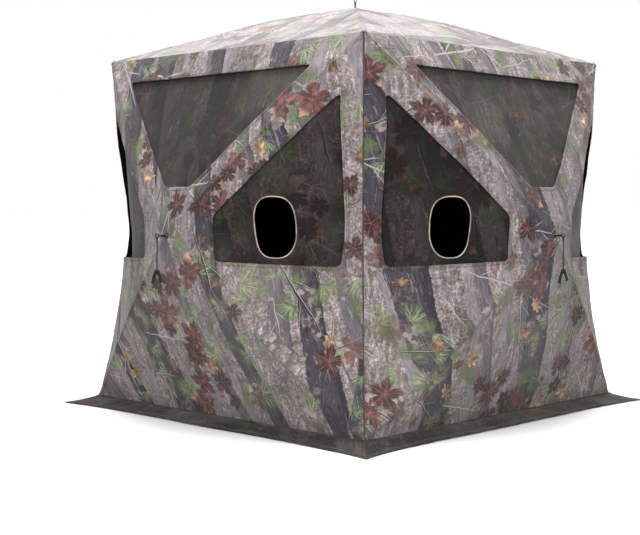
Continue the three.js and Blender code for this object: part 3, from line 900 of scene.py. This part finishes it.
def hard(name, dark, light, rough, metal=0.0, streak=0.0):
    """Moulded plastic, fibreglass or metal, with grain, scuffs and uneven gloss."""
    g = Graph(name)
    p = g.node("TexCoord", {}, "Object")
    worn = g.noise(p, 140.0, 5.0, 0.75)
    mottle, color = mottled(g, p, 35.0, 4.0, dark, light, worn, 0.63, 0.72, 0.35)
    if streak:
        across, along, _ = g.parts(g.uv("print"))
        lines = g.noise(g.join(across * 8.0, along * 900.0), 1.0, 2.0)
        color = g.mix(g.step(lines, 0.5, 0.7) * streak, color, srgb(*light))
    g.bump(g.noise(p, 220.0, 3.0), 0.25, 0.0006)
    return g.finish(color, mottle * 0.2 + (rough - 0.1), metal)


M = {
    "shell": camo_material("shell_print", (244, 241, 246), 0.9),
    "hem": camo_material("hem_print", (234, 231, 236), 0.9, stitched=True),
    # painted light: the roof's print and its hems are faded 10 % towards pale grey, so the roof reads paler as
    # if lit from above
    "roof": camo_material("roof_print_painted_light", (242, 239, 246), 0.95, fade=0.10),
    "roof_hem": camo_material("roof_hem_print_painted_light", (236, 233, 240), 0.95, stitched=True, fade=0.10),
    # painted shade: the skirt's print and its hems are multiplied by a mid grey tint and darkened by the gamma,
    # so the skirt reads darker than the walls
    "skirt": camo_material("skirt_print_painted_shade", (150, 143, 142), 1.1, contrast=1.35),
    "skirt_hem": camo_material("skirt_hem_print_painted_shade", (138, 132, 131), 1.1, stitched=True, contrast=1.35),
    # painted shade: the window panels' print and hems are multiplied by a dark grey tint and darkened by the
    # gamma, for the shade in their recess behind the openings
    "window": camo_material("window_print_painted_shade", (122, 116, 118), 1.1, 0.88, contrast=1.4),
    "window_hem": camo_material("window_hem_print_painted_shade", (108, 103, 105), 1.1, stitched=True, contrast=1.4),
    "mesh": plain_cloth("pocket_mesh", (14, 14, 15), (30, 30, 32), pitch=0.006, rough=0.9),
    "lining": plain_cloth("black_lining", (9, 9, 10), (18, 18, 20), rough=0.9),
    "webbing": plain_cloth("black_webbing", (12, 12, 13), (34, 34, 36), "seam", 0.0030, 0.75, 0.9),
    "binding": plain_cloth("dark_binding", (44, 39, 39), (84, 77, 74), "seam", 0.0030, 0.8, 0.8),
    "piping": plain_cloth("port_piping", (112, 102, 90), (196, 184, 164), "seam", 0.0024, 0.75, 0.8),
    "cord": plain_cloth("pull_cord", (14, 14, 15), (40, 40, 42), "seam", 0.0034, 0.7, 1.0),
    "plastic": hard("moulded_nylon", (16, 16, 17), (34, 34, 36), 0.5),
    "fibreglass": hard("fibreglass_rod", (20, 20, 21), (48, 46, 44), 0.32, streak=0.4),
    "steel": hard("zinc_steel", (150, 152, 155), (196, 198, 200), 0.32, 1.0),
    "dark_steel": hard("blackened_steel", (20, 20, 21), (58, 58, 60), 0.4, 0.7),
    "rubber": hard("rubber_tip", (18, 18, 18), (30, 30, 30), 0.8),
}


# ---- the cloth shell ---------------------------------------------------------------------------
def mirror(points):
    return [(-u, v) for u, v in points][::-1]


def along(a, b, first=0.0, steps=DIAGONAL):
    """Even steps from a share "first" of the way from a to b, to b."""
    a, b = np.array(a), np.array(b)
    return [tuple(a + (b - a) * t) for t in np.linspace(first, 1, steps + 1)]


def sector_outline(a, b):
    rim = resample([a, b], STEP, closed=False)[1:-1]
    return along((0, 0), a, NOTCH) + rim + along((0, 0), b, NOTCH)[::-1]


def bend_line(sector, wall):
    """From where a sector's cloth stays put to the middle of the wall."""
    if sector in ("left", "right"):
        far = HELD * np.array([SIDE_A, SIDE_B]) / (SIDE_A**2 + SIDE_B**2)
        far = far * (-1 if sector == "left" else 1, 1)
    else:
        far = np.array([0, HELD * RISE if sector == "top" else -HELD * DROP])
    return wall_point(far[0], far[1], 0, wall), wall_point(0, 0, 0, wall)


def port_outline(side, margin=0.0, steps=40):
    """The face port: an oval with flat sides, a little narrower at its foot."""
    u0, v0, a, b = PORT
    out = []
    for i in range(steps):
        t = FULL_TURN * i / steps
        x, y = (math.copysign(abs(w) ** 0.74, w) for w in (math.cos(t), math.sin(t)))
        out.append((side * u0 + (a + margin) * x * (1 + 0.07 * y), v0 + (b + margin) * y))
    return out


def opening_outline(points, margin, radius):
    """A window's outline with rounded corners, in flat cloth coordinates, finely divided."""
    return undrawn(resample(rounded(grown(points, margin), radius), STEP))


def window_of(sector):
    return {"top": TOP_WINDOW, "right": SIDE_WINDOW, "left": mirror(SIDE_WINDOW)}.get(sector)


def print_place(k):
    """Where wall k lies on the print."""
    return 3.7 * k + 0.4, 1.9 * k


def add_sector(piece, ends, holes, surface, cloth, sleeve, uv):
    """A sector's cloth, the patch under its hub, and its halves of the sleeves over the poles."""
    add_sheet(piece, sector_outline(*ends), holes, surface, cloth, M["lining"], uv)
    near = [tuple(PATCH * np.array(p)) for p in ends]
    patch = along((0, 0), near[0], NOTCH / PATCH, 4) + along((0, 0), near[1], NOTCH / PATCH, 4)[::-1]
    add_sheet(piece, patch, [], surface, M["hem"], M["lining"], uv, -PATCH_LIFT, 0.012)
    for end, side in zip(ends, (-1, 1)):
        tape = [(x * side, up) for x, up in RIBBON[3:]]
        add_ribbon(piece, along((0, 0), end, PATCH), SLEEVE, SLEEVE_LIFT, surface, sleeve, False, tape, uv)


def build_wall(k):
    place = WALLS[k]
    surface, uv = cloth_of(k), print_place(k)
    for sector, ends in SECTORS.items():
        line = bend_line(sector, k)
        has_door = place == "back" and sector == "left"
        opening = DOOR if has_door else window_of(sector)
        gap = DOOR_GAP if has_door else 0
        holes = [opening_outline(opening, gap, 0.024)] if opening else []
        piece = Piece(f"cloth_{place}_{sector}")
        add_sector(piece, ends, holes, surface, M["shell"], M["hem"], uv)
        if opening:
            path = opening_outline(opening, gap + HEM / 2, HEM_RADIUS)
            add_ribbon(piece, path, HEM, HEM_LIFT, surface, M["hem"], True, uv=uv)
        nodes = ["wall_" + place] if sector == "top" else []
        attach(piece, "frame", nodes, "hub_" + place)
        if opening and not has_door:
            build_panel(k, sector, opening, uv)
    build_gear_pocket(k, bend_line("bottom", k))


def slack(sector, u, v):
    """How much deeper a side panel hangs towards its outer edge: it hangs straight down."""
    if sector == "top":
        return 0.0
    out = clip((np.abs(u) - 0.45) / 0.35)
    return PANEL_SLACK * out * out * (3 - 2 * out) * (0.15 + 0.85 * clip((0.66 - v) / 0.76))


def build_panel(k, sector, opening, uv):
    """A window panel hung just inside its opening; one on each wall has a face port."""
    place = WALLS[k]
    surface = cloth_of(k, lambda u, v: PANEL_DEPTH + slack(sector, u, v), 0.6)
    side = {"right": 1, "left": -1}[sector] if PORT_SIDE[place] == sector else 0
    holes = [undrawn(port_outline(side))] if side else []
    piece = Piece(f"panel_{place}_{sector}")
    uv = (uv[0] + 0.35, uv[1] + 0.2)
    outline = opening_outline(opening, PANEL_MARGIN, 0.02)
    add_sheet(piece, outline, holes, surface, M["window"], M["lining"], uv)
    path = opening_outline(opening, PANEL_MARGIN - 0.012, 0.02)
    add_ribbon(piece, path, 0.020, 0.0010, surface, M["window_hem"], True, uv=uv)
    if side:
        ring = np.array(undrawn(port_outline(side, 0.002, 72)))
        add_tube(piece, surface(*ring.T, -0.0012), 0.0028, M["piping"], 10, True)
    attach(piece, "frame", [f"window_{place}_{sector}"], "hub_" + place)


def build_gear_pocket(k, line):
    """A pocket on the inside of the wall, its mouth held by an elastic band."""
    half, low, high = 0.170, -0.640, -0.470

    def belly(u, v):
        return POCKET_DEPTH + 0.010 * clip(1 - (u / half) ** 2) * clip((v - low) / (high - low))

    surface = cloth_of(k, belly, 0.4)
    corners = [(-half, low), (half, low), (half, high), (-half, high)]
    piece = Piece("pocket_cloth_" + WALLS[k])
    outline = resample(rounded(corners, 0.02), STEP)
    add_sheet(piece, outline, [], surface, M["lining"], M["mesh"], step=0.016)
    band = along((-half, high - 0.012), (half, high - 0.012), steps=40)
    inner = lambda u, v, depth=0.0: surface(u, v, CLOTH + 0.0004 - depth)
    add_ribbon(piece, band, 0.022, 0.0012, inner, M["webbing"])
    attach(piece, "frame", ["gear_pocket_" + WALLS[k]], "hub_" + WALLS[k])


def build_roof():
    corners = [(TOP, -TOP), (TOP, TOP), (-TOP, TOP), (-TOP, -TOP)]
    for i, place in enumerate(("right", "back", "left", "front")):
        ends = corners[i], corners[(i + 1) % 4]
        piece = Piece("cloth_roof_" + place)
        add_sector(piece, ends, [], roof_xyz, M["roof"], M["roof_hem"], (20.3, 7.1))
        attach(piece, "frame", [] if i else ["roof"], "hub_roof")


# ---- eaves, corner seams and ground skirt ------------------------------------------------------
def build_seams():
    """Covered piping down the four corner seams, and the turned edge round the eaves."""
    drop = np.linspace(RISE, -DROP, 90)
    share = (1 - SIDE_B * drop) / SIDE_A
    for k in range(4):
        piece = Piece(f"corner_seam_{WALLS[k]}_{WALLS[(k + 1) % 4]}")
        add_tube(piece, wall_xyz(share, drop, 0.0005, k, 0), 0.0042, M["binding"], 8)
        attach(piece, "frame")
    section = [(-0.020, EAVE_ROLL * 0.98)]
    for i in range(1, 9):
        angle = math.pi * (0.62 - 0.62 * i / 8)
        section.append((EAVE_ROLL * math.cos(angle), EAVE_ROLL * math.sin(angle)))
    section += [(EAVE_ROLL * 0.9, -0.012), (EAVE_ROLL * 0.5, -0.020)]
    loop = eave_path()
    co = [(x + nx * out, y + ny * out, EAVE - 0.004 + up)
          for x, y, nx, ny, _ in loop for out, up in section]
    uv = [(run, out + up) for *_, run in loop for out, up in section]
    piece = Piece("eave_edge")
    piece.add(co, quads(len(loop), len(section), True), M["roof"], uv)
    attach(piece, "frame")


def eave_path():
    """Points, outward directions and running length round the eaves, corners rounded."""
    edge = TOP * (1 - 0.004 / TOP)
    corners = [(edge, -edge), (edge, edge), (-edge, edge), (-edge, -edge)]
    pts = np.array(resample(rounded(corners, 0.012, 6), 0.03))
    ahead = unit(np.roll(pts, -1, 0) - np.roll(pts, 1, 0))
    return [(*p, d[1], -d[0], r) for p, d, r in zip(pts, ahead, run_of(pts))]


def build_skirt(k):
    width = SKIRT - BASE
    surface = lambda a, b, depth=0.0: skirt_xyz(a, -b, depth, k)
    corners = [(BASE, 0), (BASE, width), (-BASE, width), (-BASE, 0)]
    outline = [(a, -b) for a, b in resample(corners, STEP)][::-1]
    piece = Piece("skirt_" + WALLS[k])
    uv = (5.1 * k + 11, 3.3 * k)
    add_sheet(piece, outline, [], surface, M["skirt"], M["lining"], uv, step=0.018)
    # The second tape, dark binding along the fold, is partly a seam tape and partly painted shade: the dark line
    # where wall and skirt meet.
    for b, wide, lift, look in ((0.010 - width, 0.018, 0.0012, "skirt_hem"), (-0.004, 0.012, 0.0025, "binding")):
        path = along((-BASE, b), (BASE, b), steps=110)
        add_ribbon(piece, path, wide, lift, surface, M[look], uv=uv)
    attach(piece, "frame")


# ---- hubs, poles, pulls and pockets ------------------------------------------------------------
def hub_frame(place):
    """Origin at the cloth's apex, x along the wall, z out of it."""
    if place == "roof":
        return frame_at((0, 0, PEAK), UP, X)
    k = WALLS.index(place)
    return frame_at(turn(APEX, k), turn(N_OUT, k), turn(X, k))


def corner_of(place, k):
    """The corner that pole k runs to, in the hub's frame."""
    side = 1 if k in (0, 3) else -1
    if place == "roof":
        return np.array([side * TOP, TOP if k < 2 else -TOP])
    return np.array([side * TOP, RISE]) if k < 2 else np.array([side * BASE, -DROP])


def build_hub(place):
    at = hub_frame(place)
    piece = Piece("moulded_hub_" + place)
    low, high = -HINGE_DEPTH - HUB_THICKNESS / 2, -HINGE_DEPTH + HUB_THICKNESS / 2
    plate = rod(
        (0.010, low - 0.009), (0.013, low - 0.006), (0.0175, low - 0.004), (HUB_CORE, low),
        (HUB_CORE, high), (0.015, high + 0.003), (0.007, high + 0.007),
    )
    add_turned(piece, plate, M["plastic"], at, 36)
    root = HUB_CORE - 0.006
    for k in range(4):
        u, v = unit(corner_of(place, k))
        arm = frame_at(at[0], at[3], at[1] * u + at[2] * v)
        for side in (-1, 1):
            size = (HUB_R - root, 0.0052, HUB_THICKNESS * 0.94)
            middle = ((HUB_R - root) / 2 + root, side * 0.0083, -HINGE_DEPTH)
            add_block(piece, size, middle, M["plastic"], arm, 0.0016)
            web = (0.020, 0.0040, HUB_THICKNESS * 0.5)
            middle = (HUB_CORE + 0.006, side * 0.0127, -HINGE_DEPTH)
            add_block(piece, web, middle, M["plastic"], arm, 0.0012)
        pin_at = frame_at(placed((HINGE_R, 0, -HINGE_DEPTH), arm), arm[2], arm[3])
        pin = [(0.0034, -0.0125), (0.0034, -0.0112), (0.0019, -0.0110)]
        pin += [(r, -h) for r, h in pin[::-1]]
        add_turned(piece, rod(*pin), M["steel"], pin_at, 16)
    foot = RING_REACH - RING_R
    bolt = rod(
        (0.004, high), (0.004, -0.003), (0.0040, foot - 0.008), (0.0052, foot - 0.007),
        (0.0052, foot - 0.001), (0.0026, foot + 0.0005),
    )
    add_turned(piece, bolt, M["dark_steel"], at, 20)
    washer = [
        (0.0041, -0.0015), (0.0150, -0.0035), (0.0162, -0.0022), (0.0160, 0.0008), (0.0130, 0.0030),
        (0.0098, 0.0036), (0.0094, 0.0040), (0.0088, 0.0086), (0.0074, 0.0094), (0.0041, 0.0094),
    ]
    add_turned(piece, washer, M["plastic"], at, 36)
    loop = circle(at[0] + at[3] * RING_REACH, at[2], at[3], RING_R, 40)
    add_tube(piece, loop, RING_WIRE, M["dark_steel"], 10, True)
    attach(piece, "hub_" + place, ["hub_" + place])


def build_poles(place):
    at = hub_frame(place)
    bulge = PEAK - EAVE if place == "roof" else BULGE
    for k, name in enumerate(("upper_right", "upper_left", "lower_left", "lower_right")):
        corner = corner_of(place, k)
        far = np.linalg.norm(corner) - POLE_GAP
        start = placed((*unit(corner) * HINGE_R, -HINGE_DEPTH), at)
        end = placed((*unit(corner) * far, -bulge), at)
        length = np.linalg.norm(end - start)
        pole = frame_at(start, end - start, at[3])
        piece = Piece(f"rod_{place}_{name}")
        parts = [
            ("fibreglass", 16, [(0.0036, 0.002), (0.0036, length - 0.002)]),
            ("steel", 18, [(0.0036, -0.006), (0.0044, -0.005), (0.0044, 0.058), (0.0038, 0.060)]),
        ]
        for ring in (0.018, 0.044):
            crimp = [(0.0047, ring - 0.003), (0.0041, ring), (0.0047, ring + 0.003)]
            parts.append(("steel", 18, crimp))
        tip = [(0.0044, length - 0.030), (0.0045, length - 0.003), (0.0034, length)]
        for look, segments, profile in (*parts, ("rubber", 18, tip)):
            add_turned(piece, rod(*profile), M[look], pole, segments)
        attach(piece, f"pole_{place}_{name}", [f"pole_{place}_{name}"])


def build_pull(k):
    """A cord from the eye ring down to a folded webbing handle."""
    place = WALLS[k]
    ring = np.array(JOINTS[f"pull_{place}_swing"]["pos_m"])
    out, side, down = turn([0, -1.0, 0], k), turn(X, k), -UP
    piece = Piece("pull_cord_" + place)
    top = RING_R + RING_WIRE + 0.0006
    loop = circle(ring + down * (RING_R + 0.0008), side, down, 0.0046, 24)
    add_tube(piece, loop, 0.0017, M["cord"], 8, True)
    for lower in (0.0, 0.0044, 0.0088):
        coil = circle(ring + down * (top + 0.004 + lower), side, out, 0.0022, 12)
        add_tube(piece, coil, 0.0021, M["cord"], 8, True)
    path = []
    for t in np.linspace(0, 1, 30):
        sway = 0.0020 * math.sin(7 * t) * math.sin(math.pi * t)
        path.append(ring + down * (top + CORD_LENGTH * t) + side * sway)
    add_tube(piece, path, 0.0024, M["cord"], 10)
    apex = ring + down * (top + CORD_LENGTH - 0.002)
    for way in (-1, 0.86):
        steps = ((0.002, 0.0), (0.012, 0.010), (0.024, 0.030), (0.034, 0.057))
        leg = [apex + side * way * x + down * y * abs(way) for x, y in steps]
        add_strap(piece, leg, out, 0.020, 0.0026, M["webbing"])
    bar = [apex + side * x + down * 0.001 + out * 0.0006 for x in (-0.009, -0.003, 0.003, 0.009)]
    add_strap(piece, bar, out, 0.012, 0.0046, M["webbing"])
    attach(piece, "pull_" + place, ["pull_" + place])


def build_pockets():
    """Webbing cups that hold the pole tips inside the corners."""
    for name in ("front_right", "back_right", "back_left", "front_left"):
        piece = Piece("pole_cups_" + name)
        nodes = ["corner_pocket_" + name, "foot_pocket_" + name]
        for node in nodes:
            lo, hi = (np.array(p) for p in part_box(node))
            size, at = hi - lo, frame_at((hi + lo) / 2, UP, X)
            add_block(piece, size, (0, 0, 0), M["webbing"], at, 0.004)
            for z in (-0.3, 0.3):
                band = size * (1.03, 1.03, 0.14)
                add_block(piece, band, (0, 0, z * size[2]), M["webbing"], at, 0.001)
        attach(piece, "frame", nodes)


# ---- door --------------------------------------------------------------------------------------
def near_hinge(p):
    """Whether a point of the door's outline lies on its hinge side."""
    (u0, v0), (u1, v1) = undrawn([DOOR[2], DOOR[3]])
    share = (p[1] - v0) / (v1 - v0)
    return abs(p[0] - (u0 + (u1 - u0) * share)) < 0.05 and 0.03 < share < 0.97


def build_door():
    k = WALLS.index("back")
    surface, uv = cloth_of(k, relief=0.8), print_place(k)
    flap = Piece("door_flap")
    outline = opening_outline(DOOR, 0, 0.022)
    add_sheet(flap, outline, [], surface, M["shell"], M["lining"], uv, step=STEP)
    edge = opening_outline(DOOR, -HEM / 2, 0.018)
    add_ribbon(flap, edge, HEM, HEM_LIFT, surface, M["hem"], True, uv=uv)
    attach(flap, "door_frame", ["door"], "door")

    tape = Piece("zip_tape")
    wide = grown(DOOR, DOOR_GAP / 2)
    path = undrawn(resample(rounded(wide[3:] + wide[:3], 0.022), STEP)[3:])
    sides = [p for p in path if not near_hinge(p)]
    start = max(range(len(sides)), key=lambda i: math.dist(sides[i], sides[i - 1]))
    sides = sides[start:] + sides[:start]
    flat = cloth_of(k, lambda u, v: 0.0046, 0.5)
    add_ribbon(tape, sides, 0.030, 0.0008, flat, M["webbing"])
    coil = flat(*np.array(resample(sides, 0.0042, closed=False)).T, -0.0030)
    add_tube(tape, coil, 0.0022 + 0.0006 * (np.arange(len(coil)) % 2), M["plastic"], 6)
    attach(tape, "door_frame", ["door_zip_tape"])

    slider = Piece("zip_pull")
    lo, hi = (np.array(p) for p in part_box("door_zip_slider"))
    at = frame_at((lo + hi) / 2, turn(N_OUT, k), turn(X, k))
    end = float(hi[2] - lo[2]) / 2
    add_block(slider, (0.013, 0.017, 0.0042), (0, 0.0095 - end, 0), M["steel"], at, 0.0014)
    add_block(slider, (0.0030, 0.012, 0.0030), (0, 0.011 - end, 0.0030), M["steel"], at, 0.0008)
    tab = [placed((0, y, 0.0026), at) for y in (0.016 - end, 0.004, end - 0.002)]
    add_strap(slider, tab, at[3], 0.0075, 0.0018, M["steel"])
    attach(slider, "door_slider", ["door_zip_slider"])


build_roof()
for wall in range(4):
    build_wall(wall)
    build_skirt(wall)
    build_pull(wall)
for name in (*WALLS, "roof"):
    build_hub(name)
    build_poles(name)
build_seams()
build_pockets()
build_door()


# ---- studio ------------------------------------------------------------------------------------
def stage_floor():
    """A pale floor that fades to white before its horizon."""
    mesh = bpy.data.meshes.new("studio_floor")
    half = 60
    corners = [(-half, -half, 0), (half, -half, 0), (half, half, 0), (-half, half, 0)]
    mesh.from_pydata(corners, [], [(0, 1, 2, 3)])
    g = Graph("studio_floor")
    seen = g.node("LightPath", {}, "Is Camera Ray")
    mesh.materials.append(g.finish(g.mix(seen, srgb(196, 196, 196), srgb(244, 244, 244)), 0.9))
    away = g.node("VectorMath", {0: g.node("TexCoord", {}, "Object")}, "Value", operation="LENGTH")
    g.put(g.inputs["Emission Color"], (1, 1, 1, 1))
    g.put(g.inputs["Emission Strength"], g.step(away, 1.6, 5.5) * seen * 0.75)
    in_scene("studio_floor", mesh)


def lamp(name, size, power, place, target=(0, 0, 0.9)):
    data = bpy.data.lights.new(name, "AREA")
    data.shape = "SQUARE"
    data.size, data.energy = size, power
    obj = in_scene(name, data)
    obj.location = place
    obj.rotation_euler = (Vector(target) - Vector(place)).to_track_quat("-Z", "Y").to_euler()


def studio():
    """White to the camera, and softer light all round."""
    world = bpy.data.worlds.new("studio")
    bpy.context.scene.world = world
    world.use_nodes = True
    nodes, links = world.node_tree.nodes, world.node_tree.links
    nodes.clear()
    mix = nodes.new("ShaderNodeMixShader")
    links.new(nodes.new("ShaderNodeLightPath").outputs["Is Camera Ray"], mix.inputs[0])
    for socket, strength in ((1, 0.62), (2, 1.0)):
        light = nodes.new("ShaderNodeBackground")
        light.inputs[0].default_value = (1, 1, 1, 1)
        light.inputs[1].default_value = strength
        links.new(light.outputs[0], mix.inputs[socket])
    links.new(mix.outputs[0], nodes.new("ShaderNodeOutputWorld").inputs[0])
    lamp("overhead", 4.5, 450, (0, 0, 5.2))
    lamp("key", 3.5, 440, (4.8, -5.2, 3.0))


def camera():
    """The photograph's: level, with the picture shifted on its film."""
    data = bpy.data.cameras.new("camera")
    data.sensor_width, data.lens = 36, 72.05
    data.shift_x, data.shift_y = -0.05495, -0.1045
    obj = in_scene("camera", data)
    turned, distance = math.radians(43.3), 6.667
    obj.location = (math.sin(turned) * distance, -math.cos(turned) * distance, 1.0456)
    obj.rotation_euler = (math.pi / 2, 0, turned)
    bpy.context.scene.camera = obj


bpy.context.scene.view_settings.view_transform = "Standard"
stage_floor()
studio()
camera()
